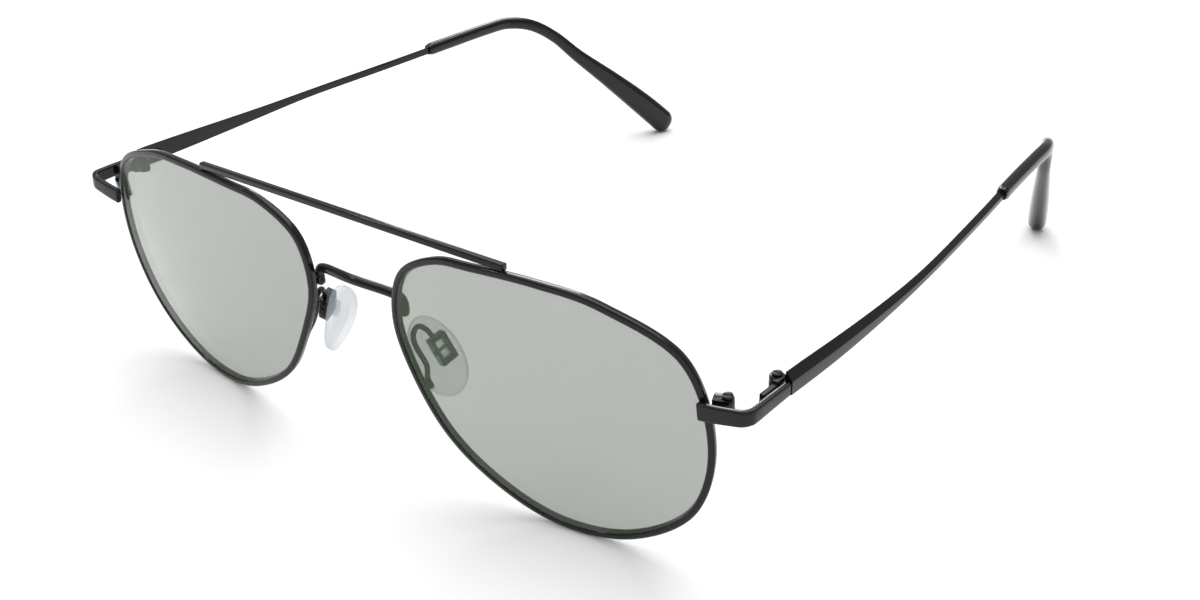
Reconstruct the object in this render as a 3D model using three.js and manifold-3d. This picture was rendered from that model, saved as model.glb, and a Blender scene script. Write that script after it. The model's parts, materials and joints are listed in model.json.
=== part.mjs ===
// Aviator sunglasses with a thin metal frame, tinted lenses, adjustable nose pads and folding temples.
// Millimetres, +Z up. The wearer looks along -Y, so the temples run back along +Y, and +X is to the
// wearer's left.
// Every half is built once, on the wearer's left, and mirrored for the right.
import * as THREE from "three";
import { mergeVertices } from "three/addons/utils/BufferGeometryUtils.js";
import Module from "manifold-3d";

const wasm = await Module();
wasm.setup();

// ---- Driving dimensions ----

// Clearance between pieces that are brazed, screwed or seated together.
const SEAT_GAP = 0.08;

// Lens openings, the front inner edge of each rim.
const LENS_WIDTH = 53.2;
const LENS_HEIGHT = 42.1;
const BRIDGE_GAP = 19.9;
const BASE_CURVE = 106;
const WRAP_ANGLE = 5.7;
const FRONT_TILT = 7.35;
const LENS_THICKNESS = 1.3;
const LENS_RIDGE_HEIGHT = 0.35;
const LENS_RIDGE_WIDTH = 0.7;

// Rims.
const RIM_WIDTH = 1.15;
const RIM_DEPTH = 1.4;
const RIM_EDGE = 0.2;
const GROOVE_GAP = 0.12;
const RIM_SLIT = 0.3;

// Brow bar and bridge.
const BROW_BAR_LENGTH = 63.8;
const BROW_BAR_SIZE = 1.2;
const BRIDGE_WIRE = 1.6;
const BRIDGE_HEIGHT = 9.2;
const BRIDGE_FOOT = 2.4;
const BRIDGE_ARCH = 1.9;
const BRIDGE_FORWARD = 1.7;

// Closing blocks that hold each rim shut round its lens.
const LOCK_HEIGHT = 7.45;
const LOCK_REACH = 3.0;
const LOCK_DEPTH = 1.9;
const LOCK_HALF = 1.5;
const LOCK_SCREW = 1.0;

// End pieces, from the rim's front round to the hinge.
const END_PIECE_HEIGHT = 2.7;
const END_PIECE_HINGE_HEIGHT = 2.1;
const END_PIECE_THICKNESS = 1.0;
const END_PIECE_REACH = 7.9;
const END_PIECE_SETBACK = 10.3;
const END_PIECE_RISE = 1.6;
const END_PIECE_LAP = 0.15;
const END_PIECE_CORNER = 1.1;

// Hinges.
const KNUCKLE_DIAMETER = 2.3;
const KNUCKLE_HEIGHT = 0.9;
const KNUCKLE_GAP = 0.1;
const HINGE_SCREW = 0.9;
const HINGE_SCREW_HEAD = 1.6;
const SCREW_CLEARANCE = 0.08;
const LEAF_THICKNESS = 0.8;
const LEAF_LENGTH = 3.8;
const LEAF_HEIGHT = 1.9;

// Temples.
const TEMPLE_RUN = 99.6;
const TEMPLE_TOE_IN = 5.5;
const TEMPLE_RISE = 2.4;
const TEMPLE_HEIGHT = 3.4;
const TEMPLE_REAR_HEIGHT = 1.5;
const TEMPLE_THICKNESS = 1.2;
const TEMPLE_REAR_THICKNESS = 1.0;
const TEMPLE_TAPER = 46;
const CORE_HEIGHT = 1.0;
const CORE_THICKNESS = 0.7;

// Temple tips, with the drop behind the ear.
const TIP_BEFORE_BEND = 24;
const DROP_RUN = 42.1;
const DROP_TOE_IN = 15.7;
const TIP_HEIGHT = 2.6;
const TIP_THICKNESS = 2.3;
const PADDLE_HEIGHT = 5.6;
const PADDLE_THICKNESS = 4.0;

// Nose pads and their arms.
const PAD_LENGTH = 14.6;
const PAD_WIDTH = 8.6;
const PAD_THICKNESS = 1.4;
const PAD_CROWN = 0.6;
const PAD_SPREAD = 21.0;
const PAD_HEIGHT = 20.5;
const PAD_SETBACK = 4.6;
const PAD_ARM_FOOT_HEIGHT = -4.6;
const PAD_ARM_WIRE = 0.9;
const PAD_BOX_LENGTH = 4.8;
const PAD_BOX_WIDTH = 3.0;
const PAD_BOX_DEPTH = 1.6;
const PAD_BOX_WALL = 0.6;
const PAD_BOX_OFFSET = 2.8;
const PAD_SCREW = 0.6;

// ---- Materials ----

const MATERIALS = {
  frame: { color: 0x141415, roughness: 0.35, metalness: 0.6 },
  screw: { color: 0x1b1b1d, roughness: 0.3, metalness: 0.8 },
  lens: { color: 0xb4bdb1, roughness: 0.05, metalness: 0, transparent: true, opacity: 0.45 },
  tip: { color: 0x0a0a0a, roughness: 0.12, metalness: 0 },
  pad: { color: 0xf2f4f6, roughness: 0.08, metalness: 0, transparent: true, opacity: 0.5 },
};

function addPiece(group, name, material, geometry) {
  const mesh = new THREE.Mesh(geometry, new THREE.MeshStandardMaterial(MATERIALS[material]));
  mesh.name = name;
  group.add(mesh);
  return mesh;
}

// ---- Solids and booleans ----

function toSolid(geometry) {
  const bare = geometry.clone();
  for (const name of Object.keys(bare.attributes)) {
    if (name !== "position") bare.deleteAttribute(name);
  }
  const merged = mergeVertices(bare, 1e-4);
  return new wasm.Manifold(
    new wasm.Mesh({
      numProp: 3,
      vertProperties: new Float32Array(merged.attributes.position.array),
      triVerts: new Uint32Array(merged.index.array),
    }),
  );
}

function toGeometry(solid) {
  const mesh = solid.getMesh();
  const geometry = new THREE.BufferGeometry();
  geometry.setAttribute("position", new THREE.BufferAttribute(new Float32Array(mesh.vertProperties), 3));
  geometry.setIndex(new THREE.BufferAttribute(new Uint32Array(mesh.triVerts), 1));
  geometry.computeVertexNormals();
  return geometry;
}

function join(first, ...rest) {
  return toGeometry(rest.reduce((solid, next) => solid.add(toSolid(next)), toSolid(first)));
}

function cut(first, ...rest) {
  return toGeometry(rest.reduce((solid, next) => solid.subtract(toSolid(next)), toSolid(first)));
}

function keepInside(first, second) {
  return toGeometry(toSolid(first).intersect(toSolid(second)));
}

// Moves every point of a geometry to the place that the function gives for it.
function reshape(geometry, place) {
  const position = geometry.attributes.position;
  const point = new THREE.Vector3();
  for (let i = 0; i < position.count; i++) {
    point.fromBufferAttribute(position, i);
    position.setXYZ(i, ...place(point.clone()).toArray());
  }
  return geometry;
}

function box(width, depth, height, x, y, z) {
  return new THREE.BoxGeometry(width, depth, height).translate(x, y, z);
}

// An upright cylinder from one height to another.
function post(diameter, low, high, x, y, sides = 16) {
  const cylinder = new THREE.CylinderGeometry(diameter / 2, diameter / 2, high - low, sides);
  return cylinder.rotateX(Math.PI / 2).translate(x, y, (low + high) / 2);
}

function polygon(points) {
  return new THREE.Shape(points.map(([x, y]) => new THREE.Vector2(x, y)));
}

// A section of unit size with rounded corners, where a higher power is squarer.
function roundedSection(sides, power) {
  const corner = (value) => 0.5 * Math.sign(value) * Math.abs(value) ** (2 / power);
  const points = [];
  for (let i = 0; i < sides; i++) {
    const angle = ((i + 0.5) / sides) * 2 * Math.PI;
    points.push([corner(Math.cos(angle)), corner(Math.sin(angle))]);
  }
  return polygon(points);
}

// Sweeps a unit section along a curve. The section's x points inwards and its y upwards, and size gives
// the section's width and height at each fraction of the length. Crowding draws the steps to the far end.
function sweep(section, curve, steps, size, from = 0, to = 1, crowding = 1) {
  const bar = new THREE.ExtrudeGeometry(section, { depth: 1, steps, bevelEnabled: false });
  return reshape(bar, (point) => {
    const { x, y } = point;
    const z = 1 - (1 - point.z) ** crowding;
    const share = from + (to - from) * z;
    const tangent = curve.getTangentAt(share);
    const upright = new THREE.Vector3(0, 0, 1).addScaledVector(tangent, -tangent.z).normalize();
    const inward = new THREE.Vector3().crossVectors(upright, tangent);
    const [width, height] = size(z);
    return curve.getPointAt(share).addScaledVector(inward, x * width).addScaledVector(upright, y * height);
  });
}

function smoothCurve(points, tension = 0.5) {
  return new THREE.CatmullRomCurve3(points, false, "catmullrom", tension);
}

function spot(x, y, z) {
  return new THREE.Vector3(x, y, z);
}

// ---- The lens shape and the curve that the fronts follow ----

// The teardrop outline, as fractions of half the lens width (towards the temple) and half its height.
const TEARDROP = [
  [1.0, 0.04],
  [0.865, 0.655],
  [0.432, 0.935],
  [0.02, 1.0],
  [-0.405, 0.978],
  [-0.675, 0.925],
  [-0.92, 0.73],
  [-1.0, 0.39],
  [-0.933, 0.04],
  [-0.7, -0.485],
  [-0.367, -0.812],
  [0.025, -0.995],
  [0.47, -0.932],
  [0.862, -0.566],
];
const OUTLINE_POINTS = 60;

// The outline moved out by a distance, as points [towards the temple, up].
function teardrop(offset) {
  const corners = TEARDROP.map(([x, y]) => spot((x * LENS_WIDTH) / 2, (y * LENS_HEIGHT) / 2, 0));
  const curve = new THREE.CatmullRomCurve3(corners, true, "catmullrom", 0.5);
  const points = [];
  for (let i = 0; i < OUTLINE_POINTS; i++) {
    const point = curve.getPointAt(i / OUTLINE_POINTS);
    const tangent = curve.getTangentAt(i / OUTLINE_POINTS);
    points.push([point.x + tangent.y * offset, point.y - tangent.x * offset]);
  }
  return points;
}

// How far across the outline's edge lies at a height, on the temple side (1) or the nasal side (-1).
function edgeAt(height, side) {
  const edge = teardrop(0).filter(([x]) => x * side > 0).sort((a, b) => a[1] - b[1]);
  const above = edge.findIndex(([, y]) => y >= height);
  const [lowX, lowY] = edge[above - 1];
  const [highX, highY] = edge[above];
  return THREE.MathUtils.mapLinear(height, lowY, highY, lowX, highX);
}

// The place of a point given flat as (across, depth, up), on the lens's base curve.
function onBaseCurve({ x, y, z }) {
  const inward = spot(-x / BASE_CURVE, 1, -z / BASE_CURVE).normalize();
  return spot(x, (x * x + z * z) / (2 * BASE_CURVE), z).addScaledVector(inward, y);
}

// Where a lens centre stands in the whole pair, and how it is turned.
const LENS_CENTRE = spot(BRIDGE_GAP / 2 + LENS_WIDTH / 2, 0, LENS_HEIGHT / 2 + RIM_WIDTH);
const lensPlace = new THREE.Matrix4()
  .makeRotationX(THREE.MathUtils.degToRad(FRONT_TILT))
  .multiply(new THREE.Matrix4().makeTranslation(LENS_CENTRE))
  .multiply(new THREE.Matrix4().makeRotationZ(THREE.MathUtils.degToRad(WRAP_ANGLE)));

function onFront(across, up, depth) {
  return onBaseCurve(spot(across, depth, up)).applyMatrix4(lensPlace);
}

// A flat prism of the outline from one depth to another, standing upright in the lens's own frame.
function outlinePrism(offset, front, back, holeOffset, edge = 0) {
  const shape = polygon(teardrop(offset));
  if (holeOffset !== undefined) shape.holes.push(polygon(teardrop(holeOffset)));
  const prism = new THREE.ExtrudeGeometry(shape, {
    depth: back - front - 2 * edge,
    bevelEnabled: edge > 0,
    bevelThickness: edge,
    bevelSize: edge,
    bevelOffset: -edge,
    bevelSegments: 1,
  });
  return prism.rotateX(Math.PI / 2).translate(0, back - edge, 0);
}

// ---- Rims and lenses ----

const LENS_CUT_DEPTH = 9;

// A thick prism of the lens outline with a V-shaped ridge round the middle of the rim's depth. The wall
// stands at one offset from the outline, and the tip of the ridge lies beyond the lens's by a gap.
function ridgedPrism(wallOffset, ridgeGap) {
  const middle = RIM_DEPTH / 2;
  const tip = LENS_RIDGE_HEIGHT + ridgeGap;
  const slope = LENS_RIDGE_WIDTH / 2 / (LENS_RIDGE_HEIGHT + SEAT_GAP);
  const halfWidth = slope * (tip - wallOffset);
  const stations = [
    [-LENS_CUT_DEPTH, wallOffset],
    [middle - halfWidth, wallOffset],
    [middle, tip],
    [middle + halfWidth, wallOffset],
    [LENS_CUT_DEPTH, wallOffset],
  ];
  const steps = stations.length - 1;
  const outline = polygon(teardrop(0));
  const straight = new THREE.ExtrudeGeometry(outline, { depth: steps, steps, bevelEnabled: false });
  const ridged = reshape(straight, ({ x, y, z }) => {
    const [depth, offset] = stations[Math.round(z)];
    const grown = 1 + offset / Math.hypot(x, y);
    return spot(x * grown, y * grown, -depth);
  });
  return turnOver(ridged).rotateX(Math.PI / 2);
}

// Turns every face round, for a shape that a mapping has mirrored.
function turnOver(geometry) {
  const position = geometry.attributes.position;
  const corner = new THREE.Vector3();
  const other = new THREE.Vector3();
  for (let i = 0; i < position.count; i += 3) {
    corner.fromBufferAttribute(position, i);
    other.fromBufferAttribute(position, i + 1);
    position.setXYZ(i, ...other.toArray());
    position.setXYZ(i + 1, ...corner.toArray());
  }
  return geometry;
}

function makeRim() {
  const ring = outlinePrism(RIM_WIDTH, 0, RIM_DEPTH, 0, RIM_EDGE);
  const groove = ridgedPrism(-2 * SEAT_GAP, GROOVE_GAP);
  const slit = box(4 * RIM_WIDTH, 4 * RIM_DEPTH, RIM_SLIT, edgeAt(LOCK_HEIGHT, 1), 0, LOCK_HEIGHT);
  return reshape(cut(ring, groove, slit), onBaseCurve);
}

// The disc's rings as shares of its radius, close enough together to follow the base curve.
const LENS_RINGS = [0, 0.27, 0.54, 0.78, 1];
const LENS_SECTORS = 36;

// A bent disc cut to the outline, with a ridge that sits in the rim's groove.
function makeLens() {
  const front = (RIM_DEPTH - LENS_THICKNESS) / 2;
  const radii = LENS_RINGS.map((share) => (share * Math.hypot(LENS_WIDTH, LENS_HEIGHT)) / 2);
  const profile = [
    ...radii.map((radius) => new THREE.Vector2(radius, front)),
    ...radii.toReversed().map((radius) => new THREE.Vector2(radius, front + LENS_THICKNESS)),
  ];
  const disc = reshape(new THREE.LatheGeometry(profile, LENS_SECTORS), onBaseCurve);
  return keepInside(disc, reshape(ridgedPrism(-SEAT_GAP, 0), onBaseCurve));
}

// ---- Closing blocks ----

// Turns a shape built at the origin to lie on the rim's curve, and puts it there.
function seatOnRim(geometry, across, up) {
  geometry.rotateZ(Math.atan(across / BASE_CURVE));
  return geometry.translate(...onBaseCurve(spot(across, 0, up)).toArray());
}

// The screw's centre, measured from the block's root at the rim.
const LOCK_CENTRE = LOCK_REACH - LOCK_DEPTH / 2;
const LOCK_FRONT = 0.25;

function lockBlock(low, high) {
  const radius = LOCK_DEPTH / 2;
  const plan = new THREE.Shape();
  plan.moveTo(0, 0);
  plan.lineTo(LOCK_CENTRE, 0);
  plan.absarc(LOCK_CENTRE, radius, radius, -Math.PI / 2, Math.PI / 2, false);
  plan.lineTo(0, 2 * radius);
  const block = new THREE.ExtrudeGeometry(plan, { depth: high - low, bevelEnabled: false, curveSegments: 8 });
  block.translate(0, LOCK_FRONT, low);
  const hole = post(LOCK_SCREW + 2 * SCREW_CLEARANCE, low - 1, high + 1, LOCK_CENTRE, LOCK_FRONT + radius);
  return cut(block, hole);
}

function lockScrew() {
  const x = LOCK_CENTRE;
  const y = LOCK_FRONT + LOCK_DEPTH / 2;
  const shank = post(LOCK_SCREW, -LOCK_HALF, LOCK_HALF + 0.2, x, y, 12);
  const head = post(1.6 * LOCK_SCREW, LOCK_HALF + SEAT_GAP, LOCK_HALF + 0.5, x, y, 12);
  const slot = box(2 * LOCK_SCREW, 0.25, 0.4, x, y, LOCK_HALF + 0.5);
  return cut(join(shank, head), slot);
}

// ---- Brow bar and bridge ----

function makeBrowBar() {
  const half = BROW_BAR_LENGTH / 2;
  const rimTops = teardrop(RIM_WIDTH).map(([across, up]) => onFront(across, up, RIM_DEPTH / 2));
  const under = rimTops.filter((point) => point.x < half + RIM_WIDTH);
  const seat = under.reduce((best, point) => (point.z > best.z ? point : best));
  const height = seat.z + BROW_BAR_SIZE / 2 + SEAT_GAP;
  const line = new THREE.LineCurve3(spot(-half, seat.y, height), spot(half, seat.y, height));
  return sweep(roundedSection(12, 3.5), line, 8, () => [BROW_BAR_SIZE, BROW_BAR_SIZE]);
}

function makeBridge() {
  const behindRim = RIM_DEPTH + BRIDGE_WIRE / 2 + 2 * SEAT_GAP;
  const footAt = (up) => onFront(edgeAt(up, -1) - 0.9 * RIM_WIDTH, up, behindRim);
  const low = footAt(BRIDGE_HEIGHT - BRIDGE_FOOT);
  const high = footAt(BRIDGE_HEIGHT);
  const shoulder = high.clone().add(spot(-1.7, -0.35, 0.6 * BRIDGE_ARCH));
  const half = [low, high, shoulder];
  const middle = spot(0, high.y - BRIDGE_FORWARD, high.z + BRIDGE_ARCH);
  const mirrored = half.toReversed().map((point) => spot(-point.x, point.y, point.z));
  const path = smoothCurve([...half, middle, ...mirrored]);
  return new THREE.ExtrudeGeometry(circle(BRIDGE_WIRE, 8), { steps: 36, extrudePath: path });
}

function circle(diameter, sides) {
  const points = [];
  for (let i = 0; i < sides; i++) {
    const angle = (i / sides) * 2 * Math.PI;
    points.push([(Math.cos(angle) * diameter) / 2, (Math.sin(angle) * diameter) / 2]);
  }
  return polygon(points);
}

// ---- End pieces ----

const lockEdge = edgeAt(LOCK_HEIGHT, 1);
const endPieceStart = onFront(lockEdge - END_PIECE_LAP, LOCK_HEIGHT, -END_PIECE_THICKNESS / 2 - SEAT_GAP);
const BUTT = endPieceStart.clone().add(spot(END_PIECE_REACH, END_PIECE_SETBACK, END_PIECE_RISE));
const BUTT_GAP = 0.15;

function makeEndPiece() {
  const corner = END_PIECE_CORNER / END_PIECE_SETBACK;
  const along = (x, y, z) =>
    endPieceStart.clone().add(spot(x * END_PIECE_REACH, y * END_PIECE_SETBACK, z * END_PIECE_RISE));
  const path = smoothCurve([
    endPieceStart,
    along(0.3, 0, 0.2),
    along(0.6, 0.1 * corner, 0.45),
    along(0.85, 0.3 * corner, 0.65),
    along(0.97, corner, 0.78),
    along(1, 2 * corner, 0.85),
    along(1, 0.55, 0.93),
    BUTT,
  ]);
  const size = (share) => [
    THREE.MathUtils.lerp(END_PIECE_THICKNESS, TEMPLE_THICKNESS, share),
    THREE.MathUtils.lerp(END_PIECE_HEIGHT, END_PIECE_HINGE_HEIGHT, share),
  ];
  return sweep(roundedSection(8, 3), path, 28, size);
}

// ---- Hinges ----

const INNER_FACE = BUTT.x - TEMPLE_THICKNESS / 2;
const HINGE_X = INNER_FACE - SEAT_GAP - KNUCKLE_DIAMETER / 2;
const HINGE_Y = BUTT.y + BUTT_GAP / 2;
const HINGE_BOTTOM = BUTT.z - END_PIECE_HINGE_HEIGHT / 2 - 0.4;
const KNUCKLE_PITCH = KNUCKLE_HEIGHT + KNUCKLE_GAP;

// One knuckle with its web to the leaf, where side is -1 for the front and 1 for the temple.
function knuckle(level, side) {
  const low = HINGE_BOTTOM + level * KNUCKLE_PITCH;
  const barrel = post(KNUCKLE_DIAMETER, low, low + KNUCKLE_HEIGHT, HINGE_X, HINGE_Y);
  const length = KNUCKLE_DIAMETER / 2 + 0.6;
  const inner = HINGE_X + 0.2;
  const outer = INNER_FACE - SEAT_GAP;
  const middle = low + KNUCKLE_HEIGHT / 2;
  const depth = HINGE_Y + (side * length) / 2;
  const web = box(outer - inner, length, KNUCKLE_HEIGHT, (inner + outer) / 2, depth, middle);
  return [barrel, web];
}

function makeHingeHalf(levels, side) {
  const height = 3 * KNUCKLE_PITCH - KNUCKLE_GAP;
  const near = KNUCKLE_DIAMETER / 2 + 0.2;
  const leaf = box(
    LEAF_THICKNESS,
    LEAF_LENGTH,
    LEAF_HEIGHT,
    INNER_FACE - SEAT_GAP - LEAF_THICKNESS / 2,
    HINGE_Y + side * (near + LEAF_LENGTH / 2),
    BUTT.z,
  );
  const half = join(leaf, ...levels.flatMap((level) => knuckle(level, side)));
  const bore = HINGE_SCREW + 2 * SCREW_CLEARANCE;
  return cut(half, post(bore, HINGE_BOTTOM - 1, HINGE_BOTTOM + height + 1, HINGE_X, HINGE_Y));
}

function makeHingeScrew() {
  const top = HINGE_BOTTOM + 3 * KNUCKLE_PITCH - KNUCKLE_GAP;
  const shank = post(HINGE_SCREW, HINGE_BOTTOM, top + 0.2, HINGE_X, HINGE_Y, 12);
  const head = post(HINGE_SCREW_HEAD, top + SEAT_GAP, top + 0.4, HINGE_X, HINGE_Y, 12);
  const slot = box(2 * HINGE_SCREW_HEAD, 0.25, 0.3, HINGE_X, HINGE_Y, top + 0.4);
  return cut(join(shank, head), slot);
}

// ---- Temples and tips ----

const rimBottom = Math.min(...teardrop(RIM_WIDTH).map(([across, up]) => onFront(across, up, 0).z));
const PADDLE_ROUND = 3;
const TEMPLE_START = spot(BUTT.x, BUTT.y + BUTT_GAP, BUTT.z + (TEMPLE_HEIGHT - END_PIECE_HINGE_HEIGHT) / 2);
const TIP_END_LIFT = 0.91;

// The line through the middle of a temple, over the ear and down to the surface it stands on.
function templeLine() {
  const bend = TEMPLE_START.clone().add(spot(-TEMPLE_TOE_IN, TEMPLE_RUN, TEMPLE_RISE));
  const end = spot(bend.x - DROP_TOE_IN, bend.y + DROP_RUN, rimBottom + TIP_END_LIFT);
  const fall = bend.z - end.z;
  const along = (share, x, z) =>
    TEMPLE_START.clone().add(spot(x * TEMPLE_TOE_IN, share * TEMPLE_RUN, z * TEMPLE_RISE));
  const down = (x, y, z) => spot(bend.x - x * DROP_TOE_IN, bend.y + y * DROP_RUN, bend.z - z * fall);
  return smoothCurve([
    along(0, 0, 0),
    along(0.15, 0.03, 0),
    along(0.3, 0.0, 0.1),
    along(0.44, -0.1, 0.3),
    along(0.64, -0.4, 0.58),
    along(0.82, -0.7, 0.9),
    along(0.93, -0.86, 1.05),
    bend,
    down(0.14, 0.14, 0.045),
    down(0.27, 0.28, 0.16),
    down(0.42, 0.42, 0.33),
    down(0.62, 0.62, 0.55),
    down(0.82, 0.82, 0.78),
    end,
  ]);
}

const templeCurve = templeLine();
const TEMPLE_LENGTH = templeCurve.getLength();
const TIP_START = TEMPLE_RUN - TIP_BEFORE_BEND;
const CORE_END = 0.88;

// A unit section, inwards and up, whose outer face slants in above its middle.
const TEMPLE_SECTION = polygon([
  [-0.5, -0.5],
  [0.5, -0.5],
  [0.5, 0.5],
  [0.35, 0.5],
  [-0.5, 0.12],
]);

function smoothShare(value, from, to) {
  return THREE.MathUtils.smoothstep(value, from, to);
}

// The bar's thickness and height at a distance from the hinge.
function templeSize(distance) {
  const taper = smoothShare(distance, 0, TEMPLE_TAPER);
  return [
    THREE.MathUtils.lerp(TEMPLE_THICKNESS, TEMPLE_REAR_THICKNESS, taper),
    THREE.MathUtils.lerp(TEMPLE_HEIGHT, TEMPLE_REAR_HEIGHT, taper),
  ];
}

// A bar as far as the tip, and a slimmer core inside the tip.
function makeTemple() {
  const barEnd = TIP_START / TEMPLE_LENGTH;
  const size = (share) => templeSize(share * barEnd * TEMPLE_LENGTH);
  const bar = sweep(TEMPLE_SECTION, templeCurve, 24, size, 0, barEnd - SEAT_GAP / TEMPLE_LENGTH);
  const coreSize = () => [CORE_THICKNESS, CORE_HEIGHT];
  const core = sweep(roundedSection(4, 2), templeCurve, 22, coreSize, barEnd - 1 / TEMPLE_LENGTH, CORE_END);
  return join(bar, core);
}

function tipSize(share) {
  const left = (1 - share) * (TEMPLE_LENGTH - TIP_START);
  const rounding = left < PADDLE_ROUND ? Math.sqrt(Math.max(0.02, 1 - (1 - left / PADDLE_ROUND) ** 2)) : 1;
  const flare = smoothShare(share, 0.45, 0.95);
  const lead = THREE.MathUtils.lerp(0.85, 1, smoothShare(share, 0, 0.02));
  return [
    THREE.MathUtils.lerp(TIP_THICKNESS, PADDLE_THICKNESS, flare) * rounding * lead,
    THREE.MathUtils.lerp(TIP_HEIGHT, PADDLE_HEIGHT, flare) * rounding * lead,
  ];
}

function makeTempleTip() {
  const start = TIP_START / TEMPLE_LENGTH;
  const sleeve = sweep(roundedSection(10, 2.4), templeCurve, 30, tipSize, start, 1, 1.6);
  const clearance = 2 * SEAT_GAP;
  const boreSize = () => [CORE_THICKNESS + clearance, CORE_HEIGHT + clearance];
  const boreEnd = CORE_END + 0.3 / TEMPLE_LENGTH;
  const bore = sweep(roundedSection(4, 2), templeCurve, 22, boreSize, start - 1 / TEMPLE_LENGTH, boreEnd);
  return cut(sleeve, bore);
}

// ---- Nose pads and their arms ----

// A frame at the pad's middle: x down the pad, y across it towards the back, z out to the rim.
const padDown = spot(0.345, 0.262, -0.901).normalize();
const padOut = spot(0.925, -0.259, 0.279);
padOut.addScaledVector(padDown, -padOut.dot(padDown)).normalize();
const padBack = new THREE.Vector3().crossVectors(padOut, padDown);
const PAD_CENTRE = spot(PAD_SPREAD / 2, PAD_SETBACK, PAD_HEIGHT);
const padPlace = new THREE.Matrix4().makeBasis(padDown, padBack, padOut).setPosition(PAD_CENTRE);
const PAD_BOX_X = -1.5;
const PAD_BOX_Y = 0.4;

function makeNosePad() {
  const outline = [];
  const points = 28;
  for (let i = 0; i < points; i++) {
    const angle = (i / points) * 2 * Math.PI;
    const taper = 1 + 0.12 * Math.cos(angle);
    outline.push([(Math.cos(angle) * PAD_LENGTH) / 2, (Math.sin(angle) * PAD_WIDTH * taper) / 2]);
  }
  const edge = 0.4;
  const plate = new THREE.ExtrudeGeometry(polygon(outline), {
    depth: PAD_THICKNESS - 2 * edge,
    bevelEnabled: true,
    bevelThickness: edge,
    bevelSize: edge,
    bevelOffset: -edge,
    bevelSegments: 1,
  });
  plate.translate(0, 0, edge - PAD_THICKNESS / 2);
  reshape(plate, ({ x, y, z }) => spot(x, y, z + PAD_CROWN * ((2 * x) / PAD_LENGTH) ** 2));
  const lugTop = PAD_BOX_OFFSET + 0.5;
  const lugLength = PAD_BOX_LENGTH - 2 * PAD_BOX_WALL - 0.7;
  const lugWidth = PAD_BOX_WIDTH - 2 * PAD_BOX_WALL - 0.3;
  const lug = box(lugLength, lugWidth, lugTop, PAD_BOX_X, PAD_BOX_Y, lugTop / 2);
  const bore = padPin(PAD_SCREW + 2 * SCREW_CLEARANCE, PAD_WIDTH, 16);
  return cut(join(plate, lug), bore).applyMatrix4(padPlace);
}

// A cylinder along the axis that the pad rocks on.
function padPin(diameter, length, sides) {
  const pin = new THREE.CylinderGeometry(diameter / 2, diameter / 2, length, sides);
  return pin.translate(PAD_BOX_X, PAD_BOX_Y, PAD_BOX_OFFSET);
}

function makePadBox() {
  const block = box(PAD_BOX_LENGTH, PAD_BOX_WIDTH, PAD_BOX_DEPTH, PAD_BOX_X, PAD_BOX_Y, PAD_BOX_OFFSET);
  const window = box(
    PAD_BOX_LENGTH - 2 * PAD_BOX_WALL,
    PAD_BOX_WIDTH - 2 * PAD_BOX_WALL,
    2 * PAD_BOX_DEPTH,
    PAD_BOX_X,
    PAD_BOX_Y,
    PAD_BOX_OFFSET,
  );
  const bore = padPin(PAD_SCREW + 2 * SCREW_CLEARANCE, 2 * PAD_BOX_WIDTH, 16);
  return cut(block, window, bore).applyMatrix4(padPlace);
}

function makePadScrew() {
  return padPin(PAD_SCREW, PAD_BOX_WIDTH + 0.2, 12).applyMatrix4(padPlace);
}

function makePadArm() {
  const boxTop = PAD_BOX_X - PAD_BOX_LENGTH / 2 - SEAT_GAP;
  const height = PAD_BOX_OFFSET + 0.2;
  const onPad = (x, y, z) => spot(x, y, z).applyMatrix4(padPlace);
  const behindRim = RIM_DEPTH + PAD_ARM_WIRE / 2 + SEAT_GAP;
  const behindAt = (up, extra) => onFront(edgeAt(up, -1) - RIM_WIDTH / 3, up, behindRim + extra);
  const path = smoothCurve([
    onPad(boxTop, PAD_BOX_Y - 0.5, height),
    onPad(boxTop - 1.5, PAD_BOX_Y - 0.7, height),
    onPad(boxTop - 3.0, PAD_BOX_Y - 1.6, height),
    onPad(boxTop - 2.5, PAD_BOX_Y - 2.9, height - 0.1),
    onPad(boxTop - 0.6, PAD_BOX_Y - 3.5, height - 0.4),
    behindAt(PAD_ARM_FOOT_HEIGHT + 3.4, 0.8),
    behindAt(PAD_ARM_FOOT_HEIGHT + 1.6, 0),
    behindAt(PAD_ARM_FOOT_HEIGHT, 0),
  ]);
  return new THREE.ExtrudeGeometry(circle(PAD_ARM_WIRE, 8), { steps: 30, extrudePath: path });
}

// ---- Assembly ----

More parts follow.
